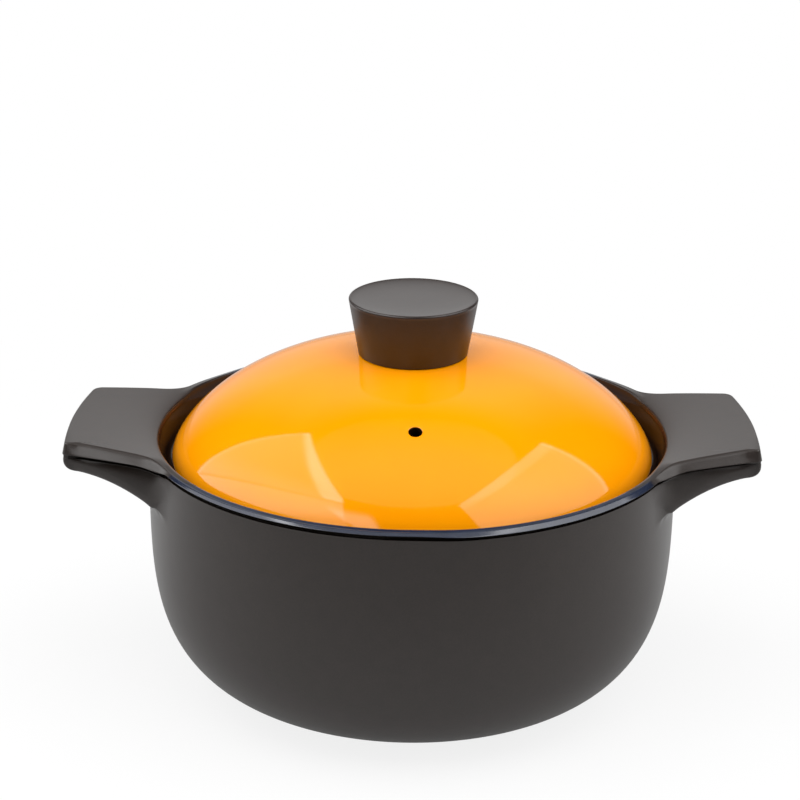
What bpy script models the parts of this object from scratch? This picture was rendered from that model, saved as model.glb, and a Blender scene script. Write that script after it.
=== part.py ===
"""Ceramic soup pot: a round-bellied bowl with two wing handles, and a domed lid with a vent and a knob.

Metres, +Z up. The origin is the centre of the foot, on the surface that the pot stands on. The handles point
along +X and -X, and the lid's vent faces -Y. Levels of the mouth are counted down from the rim's crest.
"""

from math import cos, pi, radians, sin, sqrt

import bmesh
import bpy
import numpy as np
from mathutils import Vector

MM = 0.001

# Bowl
RIM_HEIGHT = 110.5 * MM  # foot to the rim's crest
MOUTH_RADIUS = 108.0 * MM  # axis to the inner edge of the rim
RIM_WIDTH = 5.4 * MM  # inner edge of the rim to the lip's outer edge
RIM_CREST = 1.3 * MM  # radius of the rim's inner edge
RIM_FALL = 0.8 * MM  # how far the rim's top falls from its crest to the lip's edge
LIP_DEPTH = 2.6 * MM
LIP_OVERHANG = 0.8 * MM  # how far the lip stands out over the belly
WALL = 6.5 * MM
FLOOR = 7.0 * MM
FOOT_RADIUS = 65.5 * MM
FOOT_WIDTH = 12.0 * MM
FOOT_STEP = 0.8 * MM  # height of the foot's edge, and depth of the hollow inside the foot ring

# Gallery that the lid drops into
GALLERY_DEPTH = 10.5 * MM
GALLERY_DRAFT = 3.8 * MM  # how far its sloping wall comes in from the mouth
LEDGE_WIDTH = 6.5 * MM
LEDGE_THICKNESS = 3.2 * MM
LEDGE_SLOPE = 8.0 * MM  # height over which the ledge's underside runs back into the wall

# Lid
LID_CLEARANCE = 1.5 * MM  # lid's edge to the gallery's wall
LID_EDGE = 1.7 * MM  # radius of the lid's edge, under its widest point
LID_RISE = 45.4 * MM  # widest point to the top of the dome
LID_THICKNESS = 5.5 * MM
RING_CLEARANCE = 1.1 * MM  # locating ring under the lid to the ledge
RING_DEPTH = 5.0 * MM
RING_WIDTH = 5.0 * MM
VENT_DIAMETER = 5.3 * MM
VENT_INSET = 36.7 * MM  # vent's centre to the lid's edge
VENT_TURN = radians(1.1)  # the lid lies turned by this much in its round seat

# Knob
KNOB_HEIGHT = 24.4 * MM
KNOB_BASE_RADIUS = 22.8 * MM
KNOB_TOP_RADIUS = 27.3 * MM
KNOB_EDGE = 1.8 * MM
KNOB_DISH = 1.2 * MM

# Handles
HANDLE_REACH = 32.8 * MM  # lip to the handle's tip
HANDLE_ROOT_WIDTH = 86.2 * MM  # between the long sides, where they would meet the lip and the tip
HANDLE_TIP_WIDTH = 69.6 * MM
HANDLE_RISE = 6.6 * MM  # crest of the rim to the top of the tip
HANDLE_PLATE = 4.8 * MM  # height of the plate's edge
HANDLE_TIP_DEPTH = 6.1 * MM  # crest of the rim down to the underside at the tip
HANDLE_ROOT_DEPTH = 16.1 * MM  # crest of the rim down to the underside at the lip
HANDLE_UNDERCUT = 1.8 * MM  # how far the grip under the plate is set back from the plate's long sides
HANDLE_CORNER = 8.0 * MM
HANDLE_FILLET = 18.0 * MM  # in plan, where the handle runs into the rim
HANDLE_BOW = 160.0 * MM  # radius of the curved end, in plan
PLATE_EDGE = 1.4 * MM
GRIP_EDGE = 4.5 * MM

# Fits: the fired pieces are drawn this far apart where they meet
JOINT_GAP = 0.3 * MM

# Superellipse powers (across, along) of the belly and of the dome, measured against the outline
BELLY_POWERS = (1.88, 4.3)
DOME_POWERS = (2.22, 1.52)
TOP_POWER = 0.55  # how soon the handle's top rises out of the rim

TURN_STEPS = 72
KNOB_STEPS = 48
HANDLE_COLUMNS = 8

# Sizes that follow from those above
LIP_RADIUS = MOUTH_RADIUS + RIM_WIDTH
BELLY_RADIUS = LIP_RADIUS - LIP_OVERHANG
GALLERY_RADIUS = MOUTH_RADIUS - GALLERY_DRAFT
LEDGE_RADIUS = GALLERY_RADIUS - LEDGE_WIDTH
LEDGE_LEVEL = RIM_HEIGHT - GALLERY_DEPTH
LID_RADIUS = GALLERY_RADIUS - LID_CLEARANCE
RING_RADIUS = LEDGE_RADIUS - RING_CLEARANCE
SEAT_LEVEL = LEDGE_LEVEL + JOINT_GAP
HANDLE_TIP = LIP_RADIUS + HANDLE_REACH


def linear(red, green, blue):
    """An 8-bit display colour as the linear colour that a shader takes."""
    def channel(value):
        share = value / 255
        return share / 12.92 if share <= 0.04045 else ((share + 0.055) / 1.055) ** 2.4
    return (channel(red), channel(green), channel(blue), 1.0)


def glaze(name, colour, roughness):
    material = bpy.data.materials.new(name)
    material.use_nodes = True
    shader = material.node_tree.nodes["Principled BSDF"]
    shader.inputs["Base Color"].default_value = colour
    shader.inputs["Roughness"].default_value = roughness
    shader.inputs["Metallic"].default_value = 0.0
    material.diffuse_color = colour
    return material


def quarter(start, end, powers, count):
    """Evenly spaced points of a superelliptic quarter, upright at its start and level at its end."""
    angle = np.linspace(0, pi / 2, 500)
    across = end[0] + (start[0] - end[0]) * np.cos(angle).clip(0) ** (2 / powers[0])
    along = start[1] + (end[1] - start[1]) * np.sin(angle) ** (2 / powers[1])
    travelled = np.concatenate([[0], np.hypot(np.diff(across), np.diff(along)).cumsum()])
    stops = np.linspace(0, travelled[-1], count)
    return list(zip(np.interp(stops, travelled, across), np.interp(stops, travelled, along)))


def round_corner(centre, radius, start_angle, end_angle, count=4):
    """Points of an arc in a profile, from one angle to the other."""
    angles = np.linspace(start_angle, end_angle, count)
    return [(centre[0] + radius * cos(a), centre[1] + radius * sin(a)) for a in angles]


def turned(name, profile, steps):
    """An object turned about Z from a profile that runs from the axis, down its outer side, to the axis."""
    mesh = bpy.data.meshes.new(name)
    points = [(radius, 0, height) for radius, height in profile]
    mesh.from_pydata(points, [(i, i + 1) for i in range(len(points) - 1)], [])
    item = bpy.data.objects.new(name, mesh)
    screw = item.modifiers.new("turn", "SCREW")
    screw.axis = "Z"
    screw.steps = screw.render_steps = steps
    screw.use_merge_vertices = True
    screw.merge_threshold = 0.00001
    screw.use_smooth_shade = True
    return item


def cut(item, cutter):
    boolean = item.modifiers.new(cutter.name, "BOOLEAN")
    boolean.operation = "DIFFERENCE"
    boolean.object = cutter


def belly_outline(offset=0.0):
    """The bowl's outer side below the lip, down to the foot, moved out by offset."""
    neck = RIM_HEIGHT - 2 * LIP_DEPTH
    return quarter((BELLY_RADIUS + offset, neck), (FOOT_RADIUS + offset, FOOT_STEP), BELLY_POWERS, 17)


def lip_outline(offset=0.0):
    """The lip's outer side, from its rounded edge to the groove beneath it, moved out by offset."""
    edge = (LIP_DEPTH - RIM_FALL) / 2
    centre = (LIP_RADIUS - edge, RIM_HEIGHT - RIM_FALL - edge)
    return [
        *round_corner(centre, edge + offset, pi / 2, 0),
        (LIP_RADIUS + offset, RIM_HEIGHT - LIP_DEPTH),
        (BELLY_RADIUS + offset, RIM_HEIGHT - LIP_DEPTH - LIP_OVERHANG),
    ]


def bowl_profile():
    inner_radius = BELLY_RADIUS - WALL
    under_ledge = LEDGE_LEVEL - LEDGE_THICKNESS
    cavity = quarter(
        (inner_radius, under_ledge - LEDGE_SLOPE), (FOOT_RADIUS - WALL, FLOOR), BELLY_POWERS, 13
    )
    nose = LEDGE_THICKNESS / 4
    foot_inside = FOOT_RADIUS - FOOT_WIDTH
    return [
        (0, FLOOR),
        *reversed(cavity),
        (LEDGE_RADIUS, under_ledge),
        (LEDGE_RADIUS, LEDGE_LEVEL - nose),
        (LEDGE_RADIUS + nose, LEDGE_LEVEL),
        (GALLERY_RADIUS, LEDGE_LEVEL),
        *round_corner((MOUTH_RADIUS + RIM_CREST, RIM_HEIGHT - RIM_CREST), RIM_CREST, pi, pi / 2),
        *lip_outline(),
        *belly_outline(),
        (FOOT_RADIUS - FOOT_STEP, 0),
        (foot_inside, 0),
        (foot_inside - FOOT_STEP, FOOT_STEP),
        (0, FOOT_STEP),
    ]


def dome_height(radius):
    """Height of the dome's outer face above the lid's seat."""
    across, along = DOME_POWERS
    return LID_EDGE + LID_RISE * (1 - (radius / LID_RADIUS) ** across) ** (1 / along)


def dome_normal(radius):
    """The dome's outward direction at this radius, as (radial, upward)."""
    step = 0.1 * MM
    fall = (dome_height(radius - step) - dome_height(radius + step)) / (2 * step)
    return Vector((fall, 1)).normalized()


def lid_profile():
    top = LID_EDGE + LID_RISE
    outside = quarter((LID_RADIUS, LID_EDGE), (0, top), DOME_POWERS, 17)
    ring_inside = RING_RADIUS - RING_WIDTH
    nose = RING_WIDTH / 6
    inside = quarter((ring_inside, 0), (0, top - LID_THICKNESS), DOME_POWERS, 13)
    return [
        *reversed(outside),
        *round_corner((LID_RADIUS - LID_EDGE, LID_EDGE), LID_EDGE, 0, -pi / 2)[1:],
        (RING_RADIUS, 0),
        (RING_RADIUS, nose - RING_DEPTH),
        (RING_RADIUS - nose, -RING_DEPTH),
        (ring_inside + nose, -RING_DEPTH),
        (ring_inside, nose - RING_DEPTH),
        *inside,
    ]


def knob_profile():
    """The knob stands on the dome, so its underside repeats the dome's curve."""
    foot_level = dome_height(KNOB_BASE_RADIUS)
    rim = KNOB_TOP_RADIUS - KNOB_EDGE
    dish = [(rim * share, KNOB_HEIGHT - KNOB_DISH * (1 - share**2)) for share in (0, 0.3, 0.6, 0.8, 0.92)]
    underside = [
        (KNOB_BASE_RADIUS * share, dome_height(KNOB_BASE_RADIUS * share) - foot_level)
        for share in (1, 0.75, 0.5, 0.25, 0)
    ]
    return [
        *dish,
        *round_corner((rim, KNOB_HEIGHT - KNOB_EDGE), KNOB_EDGE, pi / 2, 0),
        *underside,
    ]


def tangent_centre(offset, centre_x, distance):
    """Centre of a round that touches the handle's long side and a circle about the point (centre_x, 0).

    The long side is moved out by offset, and the centre is where it lies at this distance from that point.
    """
    run = Vector((HANDLE_REACH, (HANDLE_TIP_WIDTH - HANDLE_ROOT_WIDTH) / 2)).normalized()
    outward = Vector((-run.y, run.x))
    start = Vector((LIP_RADIUS - centre_x, HANDLE_ROOT_WIDTH / 2)) + outward * offset
    along = start.dot(run)
    travel = sqrt(along**2 + distance**2 - start.length_squared) - along
    return start + run * travel + Vector((centre_x, 0)), outward


def handle_side():
    """Plan of one long side and half of the end, from inside the bowl to the middle of the tip."""
    fillet, outward = tangent_centre(HANDLE_FILLET, 0, LIP_RADIUS + HANDLE_FILLET)
    bow_x = HANDLE_TIP - HANDLE_BOW
    corner = tangent_centre(-HANDLE_CORNER, bow_x, HANDLE_BOW - HANDLE_CORNER)[0]
    side_angle = np.arctan2(outward.y, outward.x)
    lip_angle = np.arctan2(fillet.y, fillet.x)
    end_angle = np.arctan2(corner.y, corner.x - bow_x)
    inside = fillet * ((LIP_RADIUS - HANDLE_FILLET / 2) / fillet.length)
    root = fillet - outward * HANDLE_FILLET
    tip = corner + outward * HANDLE_CORNER
    return [
        tuple(inside),
        *round_corner(fillet, HANDLE_FILLET, lip_angle - pi, side_angle - pi, 6),
        *[tuple(root.lerp(tip, share)) for share in (0.25, 0.5, 0.75)],
        *round_corner(corner, HANDLE_CORNER, side_angle, end_angle, 6),
        *round_corner((bow_x, 0), HANDLE_BOW, end_angle, 0, 5)[1:],
    ]


def inset(side, edge, undercut=0.0):
    """The side moved into the handle by an edge's width, and by an undercut that the end leaves out.

    Its first two points lie on a line from the bowl's axis, and stay on that line.
    """
    moved = []
    for i, (x, y) in enumerate(side):
        before, after = side[max(i - 1, 0)], side[min(i + 1, len(side) - 1)]
        along = Vector((after[0] - before[0], after[1] - before[1]))
        if i == len(side) - 1:
            along = Vector((0, -1))
        outward = Vector((x, y)) if i < 2 else Vector((-along.y, along.x))
        outward.normalize()
        distance = edge + undercut * outward.y
        moved.append((x - outward.x * distance, y - outward.y * distance))
    return moved


def plate_level(x, y):
    """Height of the handle's top, which swells out of the rim's crest and sinks back along the fillets."""
    out = min(max((Vector((x, y)).length - MOUTH_RADIUS) / (HANDLE_TIP - MOUTH_RADIUS), 0), 1)
    fillet, outward = tangent_centre(HANDLE_FILLET, 0, LIP_RADIUS + HANDLE_FILLET)
    root = fillet - outward * HANDLE_FILLET
    lip_angle = np.arctan2(fillet.y, fillet.x)
    fillet_share = (lip_angle - np.arctan2(abs(y), x)) / (lip_angle - np.arctan2(root.y, root.x))
    return RIM_HEIGHT + HANDLE_RISE * out**TOP_POWER * min(max(fillet_share, 0), 1)


def grip_level(x, y):
    """Height of the handle's underside, a hollow sweep from the bowl up to the tip."""
    share = min(max((HANDLE_TIP - x) / HANDLE_REACH, 0), 1.15)
    return RIM_HEIGHT - HANDLE_TIP_DEPTH - (HANDLE_ROOT_DEPTH - HANDLE_TIP_DEPTH) * share**2


def handle_mesh():
    """A loft down the handle, from the plate's top through the undercut to the grip's underside.

    Each loop is the plan at its own inset and level. The first and the last are filled across the handle.
    """
    side = handle_side()
    round_share = 0.3  # of an edge's radius, at the middle of its round
    under_plate = HANDLE_PLATE + HANDLE_UNDERCUT / 2
    loops = [
        (inset(side, PLATE_EDGE), plate_level, 0),
        (inset(side, PLATE_EDGE * round_share), plate_level, -PLATE_EDGE * round_share),
        (side, plate_level, -PLATE_EDGE),
        (side, plate_level, -HANDLE_PLATE),
        (inset(side, 0, HANDLE_UNDERCUT), plate_level, -under_plate),
        (inset(side, 0, HANDLE_UNDERCUT), grip_level, GRIP_EDGE),
        (inset(side, GRIP_EDGE * round_share, HANDLE_UNDERCUT), grip_level, GRIP_EDGE * round_share),
        (inset(side, GRIP_EDGE, HANDLE_UNDERCUT), grip_level, 0),
    ]
    shape = bmesh.new()
    rings = []
    for half, level, rise in loops:
        inner_x, inner_y = half[0]
        shares = [2 * column / HANDLE_COLUMNS - 1 for column in range(1, HANDLE_COLUMNS)]
        inner_end = [(inner_x, inner_y * share) for share in shares]
        plan = half + [(x, -y) for x, y in reversed(half[:-1])] + inner_end
        rings.append([shape.verts.new((x, y, level(x, y) + rise)) for x, y in plan])
    for upper, lower in zip(rings, rings[1:]):
        for i in range(len(upper)):
            there = (i + 1) % len(upper)
            shape.faces.new((upper[i], lower[i], lower[there], upper[there]))
    fill_across(shape, rings[0], len(side), plate_level)
    fill_across(shape, rings[-1], len(side), grip_level)
    bmesh.ops.recalc_face_normals(shape, faces=shape.faces)
    mesh = bpy.data.meshes.new("handle")
    shape.to_mesh(mesh)
    shape.free()
    mesh.shade_smooth()
    mesh.set_sharp_from_angle(angle=radians(35))
    return mesh


def fill_across(shape, ring, half, level):
    """Fills a ring with rungs from side to side, whose inner points lie on the level.

    The ring's first half points run to the tip, the next ones run back, and the rest cross its inner end.
    """
    rungs = [[ring[0], *reversed(ring[2 * half - 1:]), ring[2 * half - 2]]]
    for i in range(1, half - 1):
        near, far = ring[i], ring[2 * half - 2 - i]
        inner = []
        for column in range(1, HANDLE_COLUMNS):
            x, y, _ = near.co.lerp(far.co, column / HANDLE_COLUMNS)
            inner.append(shape.verts.new((x, y, level(x, y))))
        rungs.append([near, *inner, far])
    for here, there in zip(rungs, rungs[1:]):
        for column in range(HANDLE_COLUMNS):
            shape.faces.new((here[column], there[column], there[column + 1], here[column + 1]))
    for column in range(HANDLE_COLUMNS):
        shape.faces.new((rungs[-1][column], ring[half - 1], rungs[-1][column + 1]))


def seat_cutter():
    """What a handle leaves free: the mouth, and the bowl's outer side moved out by the joint gap."""
    below = RIM_HEIGHT - 2 * HANDLE_ROOT_DEPTH
    wall = [point for point in belly_outline(JOINT_GAP) if point[1] > below]
    top = RIM_HEIGHT + 3 * HANDLE_RISE
    inner_end = MOUTH_RADIUS + RIM_CREST
    outline = [
        (0, top),
        (inner_end, top),
        (inner_end, RIM_HEIGHT + JOINT_GAP),
        *lip_outline(JOINT_GAP),
        *wall,
        (0, wall[-1][1]),
    ]
    return turned("handle_seat_cutter", outline, TURN_STEPS)


def vent_cutter():
    radius = LID_RADIUS - VENT_INSET
    outward, upward = dome_normal(radius)
    heading = VENT_TURN - pi / 2
    normal = Vector((outward * cos(heading), outward * sin(heading), upward))
    bpy.ops.mesh.primitive_cylinder_add(
        vertices=24, radius=VENT_DIAMETER / 2, depth=6 * LID_THICKNESS, end_fill_type="NGON"
    )
    drill = bpy.context.object
    drill.name = "vent_cutter"
    drill.location = (radius * cos(heading), radius * sin(heading), SEAT_LEVEL + dome_height(radius))
    drill.rotation_mode = "QUATERNION"
    drill.rotation_quaternion = normal.to_track_quat("Z", "Y")
    return drill


def place(item, material, collection, location=(0, 0, 0), parent=None):
    item.data.materials.append(material)
    item.location = location
    item.parent = parent
    collection.objects.link(item)
    return item


def main():
    for item in list(bpy.data.objects):
        bpy.data.objects.remove(item)
    pot = bpy.data.collections.new("ceramic_soup_pot")
    tools = bpy.data.collections.new("cutters")
    for collection in (pot, tools):
        bpy.context.scene.collection.children.link(collection)

    bowl_glaze = glaze("bowl_charcoal_glaze", linear(70, 66, 63), 0.45)
    handle_glaze = glaze("handle_charcoal_glaze", linear(76, 72, 71), 0.5)
    lid_glaze = glaze("lid_orange_glaze", linear(255, 152, 4), 0.08)
    knob_glaze = glaze("knob_brown_grey_glaze", linear(74, 66, 63), 0.4)

    vent = vent_cutter()
    seat = seat_cutter()
    for cutter in (vent, seat):
        for owner in list(cutter.users_collection):
            owner.objects.unlink(cutter)
        tools.objects.link(cutter)
        cutter.hide_render = True
        cutter.display_type = "WIRE"

    place(turned("pot_bowl", bowl_profile(), TURN_STEPS), bowl_glaze, pot)
    shape = handle_mesh()
    shape.materials.append(handle_glaze)
    for name, heading in (("handle_right", 0), ("handle_left", pi)):
        handle = bpy.data.objects.new(name, shape)
        handle.rotation_euler.z = heading
        pot.objects.link(handle)
        cut(handle, seat)

    lid = place(turned("lid_dome", lid_profile(), TURN_STEPS), lid_glaze, pot, (0, 0, SEAT_LEVEL))
    cut(lid, vent)
    knob_level = dome_height(KNOB_BASE_RADIUS) + JOINT_GAP
    knob = turned("lid_knob", knob_profile(), KNOB_STEPS)
    place(knob, knob_glaze, pot, (0, 0, knob_level), lid)


main()
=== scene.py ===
"""Looks of a ceramic soup pot: matte charcoal pot with two wing handles, glossy orange lid, satin knob.

Metres, +Z up. The foot's centre is the origin, the handles point along X and the lid's vent faces -Y.
"""

from math import atan, atan2, cos, pi, radians, sin, sqrt

import bmesh
import bpy
import numpy as np
from mathutils import Matrix, Vector


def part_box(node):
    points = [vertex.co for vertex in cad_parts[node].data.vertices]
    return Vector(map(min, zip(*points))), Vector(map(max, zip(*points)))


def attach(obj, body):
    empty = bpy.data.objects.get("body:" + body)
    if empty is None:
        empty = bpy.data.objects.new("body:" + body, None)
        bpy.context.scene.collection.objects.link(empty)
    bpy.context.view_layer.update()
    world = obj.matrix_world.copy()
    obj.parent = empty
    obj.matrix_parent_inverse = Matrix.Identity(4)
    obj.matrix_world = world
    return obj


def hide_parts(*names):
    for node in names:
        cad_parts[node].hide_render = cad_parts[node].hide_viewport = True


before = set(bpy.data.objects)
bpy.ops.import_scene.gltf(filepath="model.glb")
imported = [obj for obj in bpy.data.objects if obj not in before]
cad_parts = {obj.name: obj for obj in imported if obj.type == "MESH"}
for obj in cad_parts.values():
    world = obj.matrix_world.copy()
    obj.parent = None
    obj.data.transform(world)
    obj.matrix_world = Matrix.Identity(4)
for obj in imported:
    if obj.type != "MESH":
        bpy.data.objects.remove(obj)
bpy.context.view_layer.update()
MM = 0.001

# Pot: bowl with its two handles
# Thrown bowl of heat-proof clay with a stepped mouth, and two pressed wing handles that are luted on.
# The joints are smoothed over before firing, so it is one skin: matte charcoal glaze outside, gloss inside,
# a gloss rim between the handles, and bare clay where the foot ring stood in the kiln.
RIM_HEIGHT = 110.5 * MM
MOUTH_RADIUS = 108.0 * MM
LIP_RADIUS = 113.4 * MM
LIP_OVERHANG = 0.8 * MM
GROOVE_DEPTH = 1.8 * MM
GROOVE_TIP_DEPTH = 0.15 * MM
RIM_EDGE = 0.4 * MM
LOWER_ROUND = 0.3 * MM  # radius of the lower edge of the lip and of the handles' plates
# The rim is finished by hand. These pairs are for its front and its back.
RIM_CREST = (2.0 * MM, 0.8 * MM)
RIM_FALL = (0.42 * MM, 1.05 * MM)
# These pairs are for most of the rim and for the thick stretch at the front right.
RIM_RISE = (0.65 * MM, 0.2 * MM)
LIP_DEPTH = (0.85 * MM, 2.0 * MM)
RIM_BEVEL = (1.5 * MM, 1.9 * MM)
GROOVE_HEIGHT = (2.0 * MM, 1.55 * MM)
RIM_BACK_RISE = 1.2 * MM  # in place of RIM_RISE at the back
BACK_CHANGE = 45.0 * MM  # how far before and behind the middle the front changes into the back
THICK_SIDE = 25.0 * MM  # how far to the right of the middle the thick stretch is at its full
THICK_FRONT = 60.0 * MM  # and how far in front of it

BELLY_RADIUS = LIP_RADIUS - LIP_OVERHANG
BELLY_POWERS = (1.88, 4.3)
NECK_HEIGHT = RIM_HEIGHT - 5.2 * MM
FOOT_RADIUS = 65.5 * MM
FOOT_INSIDE = 53.5 * MM
FOOT_STEP = 0.8 * MM
HOLLOW_RADIUS = FOOT_INSIDE - 4.0 * MM
WIPED_RING = (FOOT_INSIDE - 0.6 * MM, FOOT_RADIUS - 0.2 * MM)
POLE_RADIUS = 6.0 * MM  # innermost loop of the floor and of the hollow under it
FLOOR_HEIGHT = 7.0 * MM
WALL = 6.5 * MM
LEDGE_RADIUS = 97.7 * MM
LEDGE_HEIGHT = 100.0 * MM
LEDGE_THICKNESS = 3.2 * MM
LEDGE_SLOPE = 8.0 * MM
LEDGE_ROOT = (BELLY_RADIUS - WALL, LEDGE_HEIGHT - LEDGE_THICKNESS - LEDGE_SLOPE)
GALLERY_RADIUS = 104.2 * MM

HANDLE_REACH = 32.8 * MM
HANDLE_TIP = LIP_RADIUS + HANDLE_REACH
HANDLE_ROOT_WIDTH = 86.2 * MM
HANDLE_TIP_WIDTH = 69.6 * MM
HANDLE_RISE = 6.6 * MM
TOP_POWER = 0.55  # below 1, so that the handle's top rises fast beside the mouth
BACK_CORNER = 7.0 * MM
FRONT_CORNER = 3.2 * MM
HANDLE_FILLET = 18.0 * MM
HANDLE_BOW = 160.0 * MM
RAKED_BOWS = (200.0 * MM, 900.0 * MM)  # radius of the curved end behind its furthest point, and in front
RAKE_PLACE = 12.0 * MM  # how far in front of the middle that point lies
PLATE_HEIGHT = (4.0 * MM, 5.2 * MM)  # of the plate's side, at the root and at the tip
PLATE_EDGE = 0.8 * MM
END_BEVEL = 1.1 * MM
SIDE_BEVEL = 2.8 * MM
SIDE_EDGE = 1.5 * MM
HANDLE_UNDERCUT = 2.0 * MM
HANDLE_COVE = 2.2 * MM
GRIP_TIP_DEPTH = 6.1 * MM
GRIP_ROOT_DEPTH = 16.1 * MM
GRIP_OVERRUN = 1.15  # the grip's sweep ends this share of the reach from the tip, a little inside the bowl
GRIP_EDGE = 4.5 * MM
GRIP_FILLET = 6.0 * MM

# Spans over which a shape or painted shade fades out, as shares of a handle's reach. The two turns are
# spans of how squarely the edge faces the front or a long side, from 0 to 1.
BEVEL_END = (0.8, 0.92)
LINE_END = (0.1, 0.6)
COVE_END = (0.72, 0.9)
COVE_SHADE_END = (0.85, 1.0)
FRONT_TURN = (0.5, 0.95)
SIDE_TURN = (0.3, 0.95)
COVE_SHADE_STRENGTH = (1.0, 0.2)  # of the painted shade under the left and the right handle
COVE_SHADE_ON_GRIP = (0.35, 0.85)  # how much of it is left at the grip's lower edge and at its top

# Angles round the pot, from the handles' axis, at which shapes and glazes change.
HANDLE_LEAD = radians(1)  # a handle's shape begins to change this much before the end of its root
BACK_SWELL = radians(15)  # and behind, its top runs out this much further round the rim
NAVY_START = radians(36)  # the navy begins here at the crest
NAVY_SLANT = radians(13)  # and this much nearer to the handle at the lip's edge
NAVY_FADE = radians(11)
BROWN_SPREAD = (radians(14), radians(42))
# Sizes of the inside's brown glaze, as pairs for the first and the last angle of its spread.
BROWN_DROP = (0.4 * MM, 3.8 * MM)  # from the crest down to the glaze
BROWN_FADE = (1.0 * MM, 4.5 * MM)
CREST_GLOSS = 0.7  # enough of the inside mark for its gloss, and not for its colours


def quarter(start, end, powers, count):
    """Evenly spaced points of a superelliptic quarter, upright at its start and level at its end."""
    angle = np.linspace(0, pi / 2, 2000)
    across = end[0] + (start[0] - end[0]) * np.cos(angle).clip(0) ** (2 / powers[0])
    along = start[1] + (end[1] - start[1]) * np.sin(angle) ** (2 / powers[1])
    travelled = np.concatenate([[0], np.hypot(np.diff(across), np.diff(along)).cumsum()])
    stops = np.linspace(0, travelled[-1], count)
    return np.stack([np.interp(stops, travelled, across), np.interp(stops, travelled, along)], 1)


def softened(corners, rounds, count):
    """A line through the corners with each one rounded, as evenly spaced points."""
    points = [corners[0]]
    for before, corner, after, size in zip(corners, corners[1:], corners[2:], rounds):
        before, corner, after = (np.array(p) for p in (before, corner, after))
        back = before - corner
        ahead = after - corner
        start = corner + back / np.linalg.norm(back) * size
        end = corner + ahead / np.linalg.norm(ahead) * size
        for share in np.linspace(0, 1, 12):
            points.append((1 - share) ** 2 * start + 2 * share * (1 - share) * corner + share**2 * end)
    points = np.array([*points, corners[-1]])
    travelled = np.concatenate([[0], np.hypot(*np.diff(points, axis=0).T).cumsum()])
    stops = np.linspace(0, travelled[-1], count)
    return np.stack([np.interp(stops, travelled, points[:, axis]) for axis in (0, 1)], 1)


def tangent_centre(offset, centre_x, distance):
    """Centre of a round that touches the handle's long side.

    The side is moved out by offset, and the centre lies at a distance from (centre_x, 0).
    """
    run = Vector((HANDLE_REACH, (HANDLE_TIP_WIDTH - HANDLE_ROOT_WIDTH) / 2)).normalized()
    outward = Vector((-run.y, run.x))
    start = Vector((LIP_RADIUS - centre_x, HANDLE_ROOT_WIDTH / 2)) + outward * offset
    along = start.dot(run)
    travel = sqrt(along**2 + distance**2 - start.length_squared) - along
    return start + run * travel + Vector((centre_x, 0)), outward


def outline_quarter(corner_size):
    """Plan of a quarter of the pot's edge, from +X to +Y, and the angles where the root and the rim begin."""
    fillet, outward = tangent_centre(HANDLE_FILLET, 0, LIP_RADIUS + HANDLE_FILLET)
    bow_x = HANDLE_TIP - HANDLE_BOW
    corner = tangent_centre(-corner_size, bow_x, HANDLE_BOW - corner_size)[0]
    side_angle = atan2(outward.y, outward.x)
    lip_angle = atan2(fillet.y, fillet.x)
    end_angle = atan2(corner.y, corner.x - bow_x)
    root = fillet - outward * HANDLE_FILLET
    tip = corner + outward * corner_size
    plan = []
    for angle in np.linspace(0, end_angle, 15)[:-1]:
        plan.append((bow_x + HANDLE_BOW * cos(angle), HANDLE_BOW * sin(angle)))
    for angle in np.linspace(end_angle, side_angle, 12)[:-1]:
        plan.append((corner.x + corner_size * cos(angle), corner.y + corner_size * sin(angle)))
    for share in np.linspace(0, 1, 13)[:-1]:
        plan.append(tuple(tip.lerp(root, share)))
    for angle in np.linspace(side_angle, lip_angle, 15)[:-1]:
        plan.append((fillet.x - HANDLE_FILLET * cos(angle), fillet.y - HANDLE_FILLET * sin(angle)))
    for angle in np.linspace(lip_angle, pi / 2, 38):
        plan.append((LIP_RADIUS * cos(angle), LIP_RADIUS * sin(angle)))
    return np.array(plan), atan2(root.y, root.x), lip_angle


def raked(plan):
    """Reshapes the handles' ends, so that they reach further at the front than at the back."""
    across, along = plan.T
    out = np.clip((abs(across) - LIP_RADIUS) / HANDLE_REACH, 0, 1)
    past = along + RAKE_PLACE
    shift = along**2 / (2 * HANDLE_BOW) - past**2 / (2 * np.where(past > 0, *RAKED_BOWS))
    return np.stack([across + np.sign(across) * shift * out, along], 1)


def smooth(value, low, high):
    """0 below the low value, 1 above the high one, and a soft change between them."""
    share = np.clip((value - low) / (high - low), 0, 1)
    return share * share * (3 - 2 * share)


back, root_angle, rim_angle = outline_quarter(BACK_CORNER)
front = outline_quarter(FRONT_CORNER)[0]
edge = raked(np.concatenate([
    back, back[-2::-1] * (-1, 1), front[1:] * (-1, -1), front[-2:0:-1] * (1, -1),
]))
ahead = np.roll(edge, -1, 0) - np.roll(edge, 1, 0)
facing = np.stack([ahead[:, 1], -ahead[:, 0]], 1) / np.hypot(*ahead.T)[:, None]
polar = np.arctan2(edge[:, 1], edge[:, 0])
spoke = np.stack([np.cos(polar), np.sin(polar)], 1)


def turn_from_x(plan):
    """Angle between a point's spoke and the handles' axis, the same in all four quarters."""
    return np.arctan2(abs(plan[:, 1]), abs(plan[:, 0]))


def handle_share(plan):
    """1 on a handle, 0 on the rim between the handles, and a soft change along the fillets."""
    return 1 - smooth(turn_from_x(plan), root_angle - HANDLE_LEAD, rim_angle)


def rim_share(plan):
    """1 on the gloss rim. It starts at the outer edge and reaches the crest further from the handle."""
    outer = np.clip((np.hypot(*plan.T) - MOUTH_RADIUS) / (LIP_RADIUS - MOUTH_RADIUS), 0, 1)
    start = NAVY_START - NAVY_SLANT * outer
    return smooth(turn_from_x(plan), start, start + NAVY_FADE)


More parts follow.
